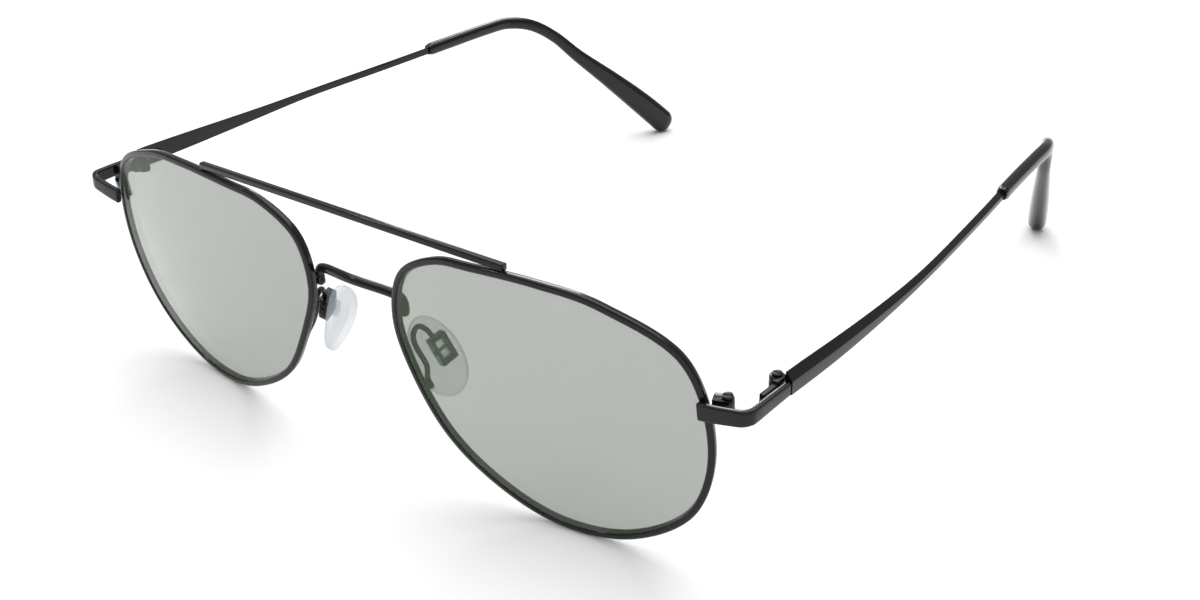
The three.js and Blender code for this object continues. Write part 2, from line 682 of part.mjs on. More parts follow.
function addHalf(pair, side, name) {
  const half = new THREE.Group();
  half.scale.x = side;
  pair.add(half);

  const front = new THREE.Group();
  front.applyMatrix4(lensPlace);
  half.add(front);
  const lockRoot = RIM_WIDTH + SEAT_GAP;
  const lowerRoot = edgeAt(LOCK_HEIGHT - LOCK_HALF, 1) + lockRoot;
  addPiece(front, `${name}_rim`, "frame", makeRim());
  addPiece(front, `${name}_lens`, "lens", makeLens());
  const lock = (geometry) => seatOnRim(geometry, lowerRoot, LOCK_HEIGHT);
  addPiece(front, `${name}_rim_lock_upper`, "frame", lock(lockBlock(SEAT_GAP / 2, LOCK_HALF)));
  addPiece(front, `${name}_rim_lock_lower`, "frame", lock(lockBlock(-LOCK_HALF, -SEAT_GAP / 2)));
  addPiece(front, `${name}_rim_lock_screw`, "screw", lock(lockScrew()));

  addPiece(half, `${name}_end_piece`, "frame", makeEndPiece());
  addPiece(half, `${name}_front_hinge`, "frame", makeHingeHalf([0, 2], -1));
  addPiece(half, `${name}_temple_hinge`, "frame", makeHingeHalf([1], 1));
  addPiece(half, `${name}_hinge_screw`, "screw", makeHingeScrew());
  addPiece(half, `${name}_temple`, "frame", makeTemple());
  addPiece(half, `${name}_temple_tip`, "tip", makeTempleTip());
  addPiece(half, `${name}_pad_arm`, "frame", makePadArm());
  addPiece(half, `${name}_pad_box`, "frame", makePadBox());
  addPiece(half, `${name}_pad_screw`, "screw", makePadScrew());
  addPiece(half, `${name}_nose_pad`, "pad", makeNosePad());
}

const pair = new THREE.Group();
addPiece(pair, "brow_bar", "frame", makeBrowBar());
addPiece(pair, "bridge", "frame", makeBridge());
addHalf(pair, 1, "left");
addHalf(pair, -1, "right");

// The origin is the middle of the whole pair, on the surface it stands on.
const whole = new THREE.Box3().setFromObject(pair, true);
pair.position.set(0, -(whole.min.y + whole.max.y) / 2, -whole.min.z);
const glasses = new THREE.Group();
glasses.add(pair);

export default glasses;
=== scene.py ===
"""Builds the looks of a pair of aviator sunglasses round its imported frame."""

import json
import math

import bmesh
import bpy
from mathutils import Matrix, Vector


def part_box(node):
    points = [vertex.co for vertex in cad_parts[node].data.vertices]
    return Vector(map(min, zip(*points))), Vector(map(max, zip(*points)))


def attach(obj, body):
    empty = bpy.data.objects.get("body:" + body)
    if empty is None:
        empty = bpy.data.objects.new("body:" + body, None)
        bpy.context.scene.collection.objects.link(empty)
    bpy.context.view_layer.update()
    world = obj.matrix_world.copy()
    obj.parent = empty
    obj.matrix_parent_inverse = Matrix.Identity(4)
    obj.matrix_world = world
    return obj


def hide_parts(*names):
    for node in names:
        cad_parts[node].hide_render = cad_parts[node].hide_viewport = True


bl_info = {
    "name": "Aviator sunglasses",
    "version": (1, 0, 0),
    "blender": (4, 5, 0),
    "location": "3D View > Sidebar > Sunglasses",
    "description": "Builds the rims, lenses, bars, temples and pads of a pair of aviator sunglasses",
    "category": "Add Mesh",
}

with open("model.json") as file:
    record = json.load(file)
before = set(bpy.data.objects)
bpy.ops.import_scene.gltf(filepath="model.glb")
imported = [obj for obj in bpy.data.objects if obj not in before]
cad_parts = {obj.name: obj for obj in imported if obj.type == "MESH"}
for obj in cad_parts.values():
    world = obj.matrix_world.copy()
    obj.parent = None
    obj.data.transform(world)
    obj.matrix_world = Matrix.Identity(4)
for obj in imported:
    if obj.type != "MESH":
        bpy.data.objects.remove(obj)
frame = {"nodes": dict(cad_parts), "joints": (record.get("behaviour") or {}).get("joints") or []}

MM = 0.001
SIDES = {"left": 1, "right": -1}

# Where brazed, screwed or seated pieces leave room for each other.
SEAT_GAP = 0.08 * MM

# How far the pair stands up and how its two fronts turn.
FRONT_TILT = math.radians(7.35)
WRAP_ANGLE = math.radians(5.7)

# The teardrop outline, as fractions of half the lens width (towards the temple) and half its height.
TEARDROP = (
    (1.0, 0.04), (0.865, 0.655), (0.432, 0.935), (0.02, 1.0), (-0.405, 0.978), (-0.675, 0.925), (-0.92, 0.73),
    (-1.0, 0.39), (-0.933, 0.04), (-0.7, -0.485), (-0.367, -0.812), (0.025, -0.995),
    (0.47, -0.932), (0.862, -0.566),
)


# ---- Sizes and colours ----


def length(name, description, default):
    """A size in millimetres, offered as a length."""
    return bpy.props.FloatProperty(name=name, description=description, default=default * MM, unit="LENGTH")


def colour(name, description, default):
    return bpy.props.FloatVectorProperty(
        name=name, description=description, default=default, subtype="COLOR", min=0, max=1
    )


class FrontSizes(bpy.types.PropertyGroup):
    lens_width: length("Lens width", "Width of each lens opening", 53.2)
    lens_height: length("Lens height", "Height of each lens opening", 42.1)
    bridge_gap: length("Bridge gap", "Distance between the two lens openings", 19.9)
    base_curve: length("Base curve", "Radius that the lenses and rims are bent to", 106)
    lens_thickness: length("Lens thickness", "Thickness of each lens", 1.1)
    rim_width: length("Rim width", "Rim thickness, seen from the front", 1.15)
    rim_depth: length("Rim depth", "Rim thickness, front to back", 1.4)
    rim_slit: length("Rim slit", "Gap that the closing screw draws together", 0.3)
    brow_bar: length("Brow bar size", "Side of the brow bar's section", 1.2)
    bridge_wire: length("Bridge wire", "Diameter of the bridge", 1.6)
    lock_height: length("Closing height", "Height of the closing screw above the lens's middle", 7.45)
    end_piece_height: length("End piece height", "Height of an end piece at the rim", 2.7)
    end_piece_hinge_height: length("Hinge end height", "Height of an end piece at the hinge", 2.1)
    end_piece_thickness: length("End piece thickness", "Thickness of an end piece", 1.0)


class TempleSizes(bpy.types.PropertyGroup):
    height: length("Temple height", "Height of a temple at the hinge", 3.4)
    rear_height: length("Rear height", "Height of a temple where it enters its tip", 1.5)
    thickness: length("Temple thickness", "Thickness of a temple at the hinge", 1.2)
    rear_thickness: length("Rear thickness", "Thickness of a temple where it enters its tip", 1.0)
    taper: length("Taper length", "Distance over which a temple slims down", 46)
    tip_height: length("Tip height", "Height of a tip's straight part", 2.6)
    tip_thickness: length("Tip thickness", "Thickness of a tip's straight part", 2.3)
    paddle_height: length("Paddle height", "Height of a tip near its end", 5.6)
    paddle_thickness: length("Paddle thickness", "Thickness of a tip near its end", 4.0)


class PadSizes(bpy.types.PropertyGroup):
    pad_length: length("Pad length", "Length of a nose pad", 14.6)
    width: length("Pad width", "Width of a nose pad", 8.6)
    thickness: length("Pad thickness", "Thickness of a nose pad", 1.4)
    crown: length("Pad crown", "How far a pad's ends bend out", 0.6)
    wire: length("Arm wire", "Diameter of a pad arm", 0.9)


class Finishes(bpy.types.PropertyGroup):
    paint: colour("Paint", "Colour of the painted metal", (0.006, 0.006, 0.0065))
    steel: colour("Screws", "Colour of the blackened screws", (0.022, 0.022, 0.024))
    tint: colour("Lens tint", "Colour of the lenses", (0.085, 0.125, 0.07))
    plastic: colour("Tips", "Colour of the temple tips", (0.003, 0.003, 0.003))
    clear: colour("Pads", "Colour of the clear nose pads", (0.6, 0.68, 0.78))
    floor: colour("Floor", "Colour of the floor", (0.93, 0.93, 0.93))


# ---- Materials ----


class Maths:
    """A socket that can be used in an expression."""

    def __init__(self, shader, socket):
        self.shader = shader
        self.socket = socket

    def combine(self, operation, first, second):
        socket = self.shader.add("ShaderNodeMath", {"operation": operation}, {0: first, 1: second})
        return Maths(self.shader, socket)

    def __add__(self, other):
        return self.combine("ADD", self, other)

    __radd__ = __add__

    def __mul__(self, other):
        return self.combine("MULTIPLY", self, other)

    __rmul__ = __mul__

    def __sub__(self, other):
        return self.combine("SUBTRACT", self, other)

    def __rsub__(self, other):
        return self.combine("SUBTRACT", other, self)

    def __pow__(self, other):
        return self.combine("POWER", self, other)


class Shader:
    """A material with one Principled shader, and the ways to add to it."""

    def __init__(self, name, **constants):
        self.material = bpy.data.materials.new(name)
        self.material.use_nodes = True
        self.tree = self.material.node_tree
        self.principled = self.tree.nodes["Principled BSDF"]
        for socket, value in constants.items():
            self.principled.inputs[socket.replace("_", " ")].default_value = value

    def add(self, kind, settings=None, inputs=None, output=0):
        """Adds a node, with its settings first, and returns one of its outputs."""
        node = self.tree.nodes.new(kind)
        for setting, value in (settings or {}).items():
            setattr(node, setting, value)
        for socket, value in (inputs or {}).items():
            self.feed(node.inputs[socket], value)
        return node.outputs[output]

    def feed(self, socket, value):
        if isinstance(value, Maths):
            value = value.socket
        if isinstance(value, bpy.types.NodeSocket):
            self.tree.links.new(value, socket)
        else:
            socket.default_value = value

    def drive(self, socket, value):
        self.feed(self.principled.inputs[socket], value)

    def place(self):
        return self.add("ShaderNodeTexCoord", output="Object")

    def noise(self, scale, detail=3, roughness=0.5):
        """A soft random pattern from 0 to 1, with its scale in features per metre."""
        inputs = {"Vector": self.place(), "Scale": scale, "Detail": detail, "Roughness": roughness}
        return Maths(self, self.add("ShaderNodeTexNoise", inputs=inputs, output="Fac"))

    def scratches(self, scale, stretch):
        """Fine streaks along Y."""
        mapped = self.add("ShaderNodeMapping", inputs={"Vector": self.place(), "Scale": (1, stretch, 1)})
        inputs = {"Vector": mapped, "Scale": scale, "Detail": 4}
        return Maths(self, self.add("ShaderNodeTexNoise", inputs=inputs, output="Fac"))

    def mix(self, factor, first, second):
        """A colour between two colours."""
        inputs = {0: factor, 6: (*first, 1), 7: (*second, 1)}
        return self.add("ShaderNodeMix", {"data_type": "RGBA"}, inputs, output=2)

    def bump(self, height, distance, strength=1.0):
        inputs = {"Height": height, "Distance": distance, "Strength": strength}
        self.drive("Normal", self.add("ShaderNodeBump", inputs=inputs))


def shade_of(base, share):
    return tuple(channel * share for channel in base)


def paint_material(finishes):
    """Satin black paint with a faint orange peel and a little handling dullness."""
    base = tuple(finishes.paint)
    shader = Shader("Black paint", Specular_IOR_Level=0.1, Coat_Weight=0.4, Coat_Roughness=0.05)
    cloud = shader.noise(160, 4)
    shader.drive("Base Color", shader.mix(cloud, shade_of(base, 0.8), shade_of(base, 1.5)))
    shader.drive("Roughness", 0.2 + 0.14 * shader.noise(420, 5))
    shader.bump(shader.noise(2600, 2), 0.00002, 0.5)
    return shader.material


def steel_material(finishes):
    """Blackened steel with fine turning marks."""
    base = tuple(finishes.steel)
    shader = Shader("Blackened steel", Metallic=0.85)
    streaks = shader.scratches(2400, 0.2)
    shader.drive("Base Color", shader.mix(streaks, shade_of(base, 0.7), shade_of(base, 1.8)))
    shader.drive("Roughness", 0.2 + 0.25 * streaks)
    shader.bump(streaks, 0.00002, 0.4)
    return shader.material


def lens_material(finishes):
    """Polished tinted lens, a touch denser in places and with the faintest smears."""
    base = tuple(finishes.tint)
    shader = Shader("Tinted lens", IOR=1.5, Specular_IOR_Level=0.35)
    cloud = shader.noise(28, 3)
    shader.drive("Base Color", shader.mix(cloud, shade_of(base, 0.94), shade_of(base, 1.06)))
    shader.drive("Roughness", 0.03 + 0.05 * shader.noise(60, 5, 0.6))
    shader.drive("Alpha", 0.41 + 0.02 * cloud)
    return shader.material


def plastic_material(finishes):
    """Polished black plastic with a slow wave left by moulding."""
    base = tuple(finishes.plastic)
    shader = Shader("Black plastic", Specular_IOR_Level=0.2, Coat_Weight=0.3, Coat_Roughness=0.03)
    cloud = shader.noise(120, 3)
    shader.drive("Base Color", shader.mix(cloud, shade_of(base, 0.8), shade_of(base, 1.6)))
    shader.drive("Roughness", 0.08 + 0.12 * shader.noise(300, 5))
    shader.bump(shader.noise(240, 2), 0.00006, 0.35)
    return shader.material


def clear_material(finishes):
    """Clear moulded plastic, denser where it is seen edge on."""
    base = tuple(finishes.clear)
    shader = Shader("Clear plastic", IOR=1.46, Coat_Weight=0.5, Coat_Roughness=0.04)
    facing = Maths(shader, shader.add("ShaderNodeLayerWeight", inputs={"Blend": 0.35}, output="Facing"))
    shader.drive("Base Color", shader.mix(facing, base, shade_of(base, 0.3)))
    shader.drive("Alpha", 0.13 + 0.6 * facing)
    shader.drive("Roughness", 0.06 + 0.08 * shader.noise(400, 4))
    return shader.material


def floor_material(finishes):
    """Matte seamless paper."""
    base = tuple(finishes.floor)
    shader = Shader("Paper floor")
    grain = shader.noise(500, 4)
    shader.drive("Base Color", shader.mix(grain, shade_of(base, 0.99), base))
    shader.drive("Roughness", 0.8 + 0.1 * grain)
    return shader.material


MAKERS = {
    "frame": paint_material,
    "screw": steel_material,
    "lens": lens_material,
    "tip": plastic_material,
    "pad": clear_material,
    "floor": floor_material,
}
MATERIALS = {}


def material(slot):
    """The one material of a slot, made the first time that it is asked for."""
    if slot not in MATERIALS:
        MATERIALS[slot] = MAKERS[slot](bpy.context.scene.sunglasses_finishes)
    return MATERIALS[slot]


# ---- Curves ----


def spot(x, y, z):
    """A point given in millimetres."""
    return Vector((x, y, z)) * MM


class Route:
    """A smooth curve through points, measured along its length."""

    SAMPLES = 600

    def __init__(self, points, closed=False):
        self.points = points
        self.closed = closed
        self.samples = [self.at_parameter(i / self.SAMPLES) for i in range(self.SAMPLES + 1)]
        self.lengths = [0.0]
        for before, after in zip(self.samples, self.samples[1:]):
            self.lengths.append(self.lengths[-1] + (after - before).length)

    def knot(self, index):
        count = len(self.points)
        if self.closed:
            return self.points[index % count]
        if index < 0:
            return 2 * self.points[0] - self.points[1]
        if index >= count:
            return 2 * self.points[-1] - self.points[-2]
        return self.points[index]

    def at_parameter(self, share):
        spans = len(self.points) if self.closed else len(self.points) - 1
        index = min(int(share * spans), spans - 1)
        t = share * spans - index
        before, start, end, after = (self.knot(index + step) for step in (-1, 0, 1, 2))
        leave = (end - before) / 2
        arrive = (after - start) / 2
        return (
            start
            + leave * t
            + (3 * (end - start) - 2 * leave - arrive) * t**2
            + (2 * (start - end) + leave + arrive) * t**3
        )

    @property
    def total(self):
        return self.lengths[-1]

    def at(self, share):
        """The point at a share of the length."""
        target = min(max(share, 0), 1) * self.total
        low, high = 0, self.SAMPLES
        while high - low > 1:
            middle = (low + high) // 2
            if self.lengths[middle] <= target:
                low = middle
            else:
                high = middle
        step = self.lengths[high] - self.lengths[low]
        part = (target - self.lengths[low]) / step if step else 0
        return self.at_parameter((low + part) / self.SAMPLES)

    def along(self, share):
        """The direction at a share of the length."""
        reach = 0.002
        start, end = share - reach, share + reach
        if self.closed:
            return (self.at(end % 1) - self.at(start % 1)).normalized()
        return (self.at(end) - self.at(start)).normalized()


def smoothstep(value, low, high):
    t = min(max((value - low) / (high - low), 0), 1)
    return t * t * (3 - 2 * t)


def blend(first, second, share):
    return first + (second - first) * share


# ---- The front's own shape ----


class Front:
    """The lens outline, the curve it is bent to and its place in the whole pair."""

    def __init__(self, sizes):
        self.sizes = sizes
        corners = [Vector((x * sizes.lens_width, 0, y * sizes.lens_height)) / 2 for x, y in TEARDROP]
        self.outline = Route(corners, closed=True)
        centre = Vector(((sizes.bridge_gap + sizes.lens_width) / 2, 0, sizes.lens_height / 2 + sizes.rim_width))
        tilt = Matrix.Rotation(FRONT_TILT, 4, "X")
        wrap = Matrix.Rotation(WRAP_ANGLE, 4, "Z")
        self.turn = Matrix.Translation(pair_shift()) @ tilt @ Matrix.Translation(centre) @ wrap

    def bent(self, across, depth, up):
        """A point of the flat front, moved onto the base curve and into the pair."""
        curve = self.sizes.base_curve
        inward = Vector((-across / curve, 1, -up / curve)).normalized()
        surface = Vector((across, (across**2 + up**2) / (2 * curve), up))
        return self.turn @ (surface + inward * depth)

    def edge(self, share, offset):
        """The outline at a share of its length, moved outwards by an offset."""
        point = self.outline.at(share % 1)
        along = self.outline.along(share % 1)
        return point.x + along.z * offset, point.z - along.x * offset

    def share_at(self, height, side):
        """The share of the outline's length at a height, on the temple side (1) or nasal side (-1)."""
        steps = 1500
        shares = [i / steps for i in range(steps)]
        points = [(share, self.outline.at(share)) for share in shares]
        return min((abs(point.z - height), share) for share, point in points if point.x * side > 0)[1]

    def edge_at(self, height, side):
        return self.outline.at(self.share_at(height, side)).x


def pad_basis():
    """The pad's directions: down the pad, across it towards the back, and out to the rim."""
    down = Vector((0.345, 0.262, -0.901)).normalized()
    out = Vector((0.925, -0.259, 0.279))
    out = (out - down * out.dot(down)).normalized()
    return down, out.cross(down), out


PAD_SCREW_PLACE = spot(-1.5, 0.4, 2.8)
PAD_MIDDLE = spot(10.5, 4.6, 20.5)


def pad_turn():
    """Puts a point given on the left pad into the frame, from where the pad's screw is."""
    joint = next(joint for joint in frame["joints"] if joint["name"] == "left_pad_rock")
    down, back, out = pad_basis()
    turn = Matrix((down, back, out)).transposed()
    return Matrix.Translation(Vector(joint["pos_m"]) - turn @ PAD_SCREW_PLACE) @ turn.to_4x4()


def pair_shift():
    """How far the pair stands from the point that its own sizes start from."""
    return pad_turn().translation - PAD_MIDDLE


# ---- Mesh helpers ----


def rounded_square(sides, power):
    """A unit section with rounded corners, where a higher power is squarer."""
    points = []
    for i in range(sides):
        angle = math.tau * (i + 0.5) / sides
        circle = (math.cos(angle), math.sin(angle))
        points.append(tuple(0.5 * math.copysign(abs(v) ** (2 / power), v) for v in circle))
    return points


def section_face(bm, points):
    return bm.faces.new([bm.verts.new((x, y, 0)) for x, y in points])


def straight_bar(bm, face, steps):
    """Extrudes a face along Z to a bar of unit length."""
    for _ in range(steps):
        grown = bmesh.ops.extrude_face_region(bm, geom=[face])["geom"]
        verts = [part for part in grown if isinstance(part, bmesh.types.BMVert)]
        bmesh.ops.translate(bm, verts=verts, vec=(0, 0, 1 / steps))
        face = next(part for part in grown if isinstance(part, bmesh.types.BMFace))
    bmesh.ops.recalc_face_normals(bm, faces=bm.faces)


def place(bm, function, verts=None):
    """Moves every point to where the function puts it."""
    for vert in verts or bm.verts:
        vert.co = function(vert.co.copy())


def sweep(points, route, steps, size, start=0.0, end=1.0, crowding=1.0):
    """A bar whose section follows a route. The section's x points inwards and its y up."""
    bm = bmesh.new()
    straight_bar(bm, section_face(bm, points), steps)

    def along(co):
        share = 1 - (1 - min(max(co.z, 0), 1)) ** crowding
        place_share = blend(start, end, share)
        tangent = route.along(place_share)
        upright = (Vector((0, 0, 1)) - tangent * tangent.z).normalized()
        width, height = size(share)
        return route.at(place_share) + upright.cross(tangent) * co.x * width + upright * co.y * height

    place(bm, along)
    bmesh.ops.recalc_face_normals(bm, faces=bm.faces)
    return bm


def wire(route, diameter, steps, sides=16):
    """A round wire along a route, with softly rounded ends."""

    def size(share):
        near_end = min(share, 1 - share) * route.total / (diameter * 0.3)
        rounding = math.sqrt(max(1 - (1 - min(near_end, 1)) ** 2, 0.16))
        return diameter * rounding, diameter * rounding

    return sweep(rounded_square(sides, 2), route, steps, size)


def spun(profile, steps, angle=math.tau, closed=True):
    """Spins a profile of (radius, depth) points round the Z axis."""
    bm = bmesh.new()
    verts = [bm.verts.new((radius, 0, depth)) for radius, depth in profile]
    pairs = list(zip(verts, verts[1:] + verts[:1])) if closed else list(zip(verts, verts[1:]))
    edges = [bm.edges.new(pair) for pair in pairs]
    whole = angle >= math.tau
    bmesh.ops.spin(
        bm, geom=verts + edges, cent=(0, 0, 0), axis=(0, 0, 1), dvec=(0, 0, 0),
        angle=angle, steps=steps, use_merge=whole,
    )
    bmesh.ops.remove_doubles(bm, verts=bm.verts, dist=1e-7)
    bmesh.ops.holes_fill(bm, edges=[edge for edge in bm.edges if edge.is_boundary], sides=0)
    bmesh.ops.recalc_face_normals(bm, faces=bm.faces)
    return bm


def refined(node, bevel=0.05 * MM):
    """A copy of a CAD node's mesh with its flat faces joined and its sharp edges eased."""
    bm = bmesh.new()
    bm.from_mesh(frame["nodes"][node].data)
    bmesh.ops.remove_doubles(bm, verts=bm.verts, dist=1e-7)
    bmesh.ops.dissolve_limit(bm, angle_limit=math.radians(1), verts=bm.verts, edges=bm.edges)
    sharp = [edge for edge in bm.edges if edge.is_manifold and edge.calc_face_angle(0) > math.radians(40)]
    bmesh.ops.bevel(
        bm, geom=sharp, offset=bevel, segments=2, profile=0.5, affect="EDGES", material=-1, clamp_overlap=True
    )
    return bm


def mirrored(bm):
    """Turns a left-hand mesh into the right-hand one."""
    bmesh.ops.scale(bm, vec=(-1, 1, 1), verts=bm.verts)
    bmesh.ops.reverse_faces(bm, faces=bm.faces)
    return bm


def add_piece(bm, name, slot, body, nodes, sharp=35):
    """Makes a mesh a piece that rides on a body and stands for CAD nodes."""
    for face in bm.faces:
        face.smooth = True
    for edge in bm.edges:
        edge.smooth = edge.calc_face_angle(0) < math.radians(sharp)
    mesh = bpy.data.meshes.new(name)
    bm.to_mesh(mesh)
    bm.free()
    piece = bpy.data.objects.new(name, mesh)
    bpy.context.scene.collection.objects.link(piece)
    mesh.materials.append(material(slot))
    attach(piece, body)
    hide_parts(*nodes)
    return piece


def add_both(make, part, slot, body="front", sharp=35):
    """Makes a left-hand piece and its mirror image, where the body may hold the side's name."""
    for side in SIDES:
        bm = make() if side == "left" else mirrored(make())
        add_piece(bm, f"{side}_{part}_piece", slot, body.format(side=side), [f"{side}_{part}"], sharp)


def add_refined(part, slot, body="front", bevel=0.05 * MM):
    for side in SIDES:
        node = f"{side}_{part}"
        add_piece(refined(node, bevel), f"{node}_piece", slot, body.format(side=side), [node])


# ---- Rims and lenses ----


RIM_STEPS = 220
RIM_RADIUS = 2
RIM_OPENING = 0.01
LENS_STEPS = 200


def make_rim(front):
    """A split ring of rounded square wire, bent to the base curve."""
    sizes = front.sizes
    full = math.tau - RIM_OPENING
    bm = spun([(RIM_RADIUS + x, y) for x, y in rounded_square(20, 4)], RIM_STEPS, full, closed=True)
    slit = front.share_at(sizes.lock_height, 1)
    half_gap = sizes.rim_slit / front.outline.total / 2

    def on_front(co):
        turn = math.atan2(co.y, co.x) % math.tau
        if turn > full + RIM_OPENING / 2:
            turn = 0.0
        share = blend(slit + half_gap, slit + 1 - half_gap, turn / full)
        offset = (math.hypot(co.x, co.y) - RIM_RADIUS + 0.5) * sizes.rim_width
        across, up = front.edge(share, offset)
        return front.bent(across, (co.z + 0.5) * sizes.rim_depth, up)

    place(bm, on_front)
    bmesh.ops.recalc_face_normals(bm, faces=bm.faces)
    return bm


def make_lens(front):
    """A bent disc of the outline's shape, with its edge seated in the rim."""
    sizes = front.sizes
    rings = 14
    seat = 0.2 * MM
    far = sizes.rim_depth - 0.05 * MM
    near = far - sizes.lens_thickness
    radii = [i / rings for i in range(rings + 1)]
    profile = [(radius, near) for radius in radii] + [(radius, far) for radius in reversed(radii)]
    bm = spun([(radius, depth / MM) for radius, depth in profile], LENS_STEPS, closed=False)

    def on_front(co):
        turn = math.atan2(co.y, co.x) % math.tau
        share = math.hypot(co.x, co.y)
        across, up = front.edge(turn / math.tau, seat)
        return front.bent(across * share, co.z * MM, up * share)

    place(bm, on_front)
    bmesh.ops.remove_doubles(bm, verts=bm.verts, dist=1e-6)
    bmesh.ops.recalc_face_normals(bm, faces=bm.faces)
    return bm


# ---- Bars across the nose ----


def make_brow_bar(front):
    """A straight square bar with flat, cut ends."""
    low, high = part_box("brow_bar")
    bm = bmesh.new()
    bmesh.ops.create_cube(bm, size=1)
    bmesh.ops.scale(bm, vec=high - low, verts=bm.verts)
    bmesh.ops.translate(bm, vec=(low + high) / 2, verts=bm.verts)
    long_edges = [edge for edge in bm.edges if abs(edge.verts[0].co.x - edge.verts[1].co.x) > 10 * MM]
    round_size = 0.26 * front.sizes.brow_bar
    bmesh.ops.bevel(
        bm, geom=long_edges, offset=round_size, segments=5, profile=0.5, affect="EDGES", material=-1
    )
    ends = [edge for edge in bm.edges if edge.calc_face_angle(0) > math.radians(60)]
    bmesh.ops.bevel(bm, geom=ends, offset=0.08 * MM, segments=2, profile=0.5, affect="EDGES", material=-1)
    return bm


def make_bridge(front):
    """A round wire that rises from behind one rim, arches over the nose and comes down behind the other."""
    sizes = front.sizes
    height, foot, arch, forward = 9.2 * MM, 2.4 * MM, 1.9 * MM, 1.7 * MM
    behind = sizes.rim_depth + sizes.bridge_wire / 2 + 2 * SEAT_GAP

    def foot_at(up):
        return front.bent(front.edge_at(up, -1) - 0.9 * sizes.rim_width, behind, up)

    low = foot_at(height - foot)
    high = foot_at(height)
    shoulder = high + spot(-1.7, -0.35, 0) + Vector((0, 0, 0.6 * arch))
    middle = Vector((0, high.y - forward, high.z + arch))
    half = [low, high, shoulder]
    other = [Vector((-point.x, point.y, point.z)) for point in reversed(half)]
    return wire(Route(half + [middle] + other), sizes.bridge_wire, 90, 20)


# ---- End pieces, temples and tips ----


def end_piece_start(front):
    sizes = front.sizes
    return front.bent(
        front.edge_at(sizes.lock_height, 1) - 0.15 * MM,
        -sizes.end_piece_thickness / 2 - SEAT_GAP,
        sizes.lock_height,
    )


BUTT_REACH = spot(7.9, 10.3, 1.6)


def make_end_piece(front, temples):
    """A flat strip from the rim's front, round the corner to the hinge."""
    start = end_piece_start(front)
    reach = BUTT_REACH
    corner = 1.1 * MM / reach.y
    shares = (
        (0, 0, 0), (0.3, 0, 0.2), (0.6, 0.1 * corner, 0.45), (0.85, 0.3 * corner, 0.65), (0.97, corner, 0.78),
        (1, 2 * corner, 0.85), (1, 0.55, 0.93), (1, 1, 1),
    )
    route = Route([start + Vector((x * reach.x, y * reach.y, z * reach.z)) for x, y, z in shares])
    sizes = front.sizes

    def size(share):
        width = blend(sizes.end_piece_thickness, temples.thickness, share)
        return width, blend(sizes.end_piece_height, sizes.end_piece_hinge_height, share)

    bm = sweep(rounded_square(28, 4.5), route, 90, size)
    ends = [edge for edge in bm.edges if edge.calc_face_angle(0) > math.radians(60)]
    bmesh.ops.bevel(bm, geom=ends, offset=0.2 * MM, segments=4, profile=0.5, affect="EDGES", material=-1)
    return bm


TEMPLE_RUN = 99.6 * MM
TEMPLE_TOE_IN = 5.5 * MM
TEMPLE_RISE = 2.4 * MM
TIP_BEFORE_BEND = 24 * MM
DROP_RUN = 42.1 * MM
DROP_TOE_IN = 15.7 * MM
TIP_END_LIFT = 0.91 * MM
BUTT_GAP = 0.15 * MM


def temple_route(front, temples):
    """The line through the middle of the left temple, over the ear and down to where it rests."""
    butt = end_piece_start(front) + BUTT_REACH
    rise = (temples.height - front.sizes.end_piece_hinge_height) / 2
    start = butt + Vector((0, BUTT_GAP, rise))
    bend = start + Vector((-TEMPLE_TOE_IN, TEMPLE_RUN, TEMPLE_RISE))
    end = Vector((bend.x - DROP_TOE_IN, bend.y + DROP_RUN, TIP_END_LIFT))
    shares = (
        (0, 0, 0), (0.15, 0.03, 0), (0.3, 0, 0.1), (0.44, -0.1, 0.3), (0.64, -0.4, 0.58), (0.82, -0.7, 0.9),
        (0.93, -0.86, 1.05),
    )
    straight = [start + Vector((x * TEMPLE_TOE_IN, y * TEMPLE_RUN, z * TEMPLE_RISE)) for y, x, z in shares]
    drops = (
        (0.14, 0.14, 0.045), (0.27, 0.28, 0.16), (0.42, 0.42, 0.33), (0.62, 0.62, 0.55), (0.82, 0.82, 0.78),
    )
    fall = bend.z - end.z
    down = [Vector((bend.x - x * DROP_TOE_IN, bend.y + y * DROP_RUN, bend.z - z * fall)) for x, y, z in drops]
    return Route(straight + [bend] + down + [end])


# The temple's section, inwards and up, whose outer face slants in above its middle.
TEMPLE_CORNERS = ((-0.5, -0.5), (0.5, -0.5), (0.5, 0.5), (0.35, 0.5), (-0.5, 0.12))


def temple_section():
    """The temple's section with its corners rounded."""
    bm = bmesh.new()
    section_face(bm, TEMPLE_CORNERS)
    bmesh.ops.bevel(
        bm, geom=bm.verts, offset=0.06, segments=3, profile=0.5, affect="VERTICES", material=-1, clamp_overlap=True
    )
    points = [(loop.vert.co.x, loop.vert.co.y) for loop in bm.faces[:][0].loops]
    bm.free()
    return points


def make_temple(front, temples):
    """A bar that slims down from the hinge and runs into the tip."""
    route = temple_route(front, temples)
    tip_start = TEMPLE_RUN - TIP_BEFORE_BEND
    inside_tip = 0.8 * MM

    def size(share):
        taper = smoothstep(share * tip_start, 0, temples.taper)
        width = blend(temples.thickness, temples.rear_thickness, taper)
        return width, blend(temples.height, temples.rear_height, taper)

    return sweep(temple_section(), route, 120, size, 0, (tip_start + inside_tip) / route.total)


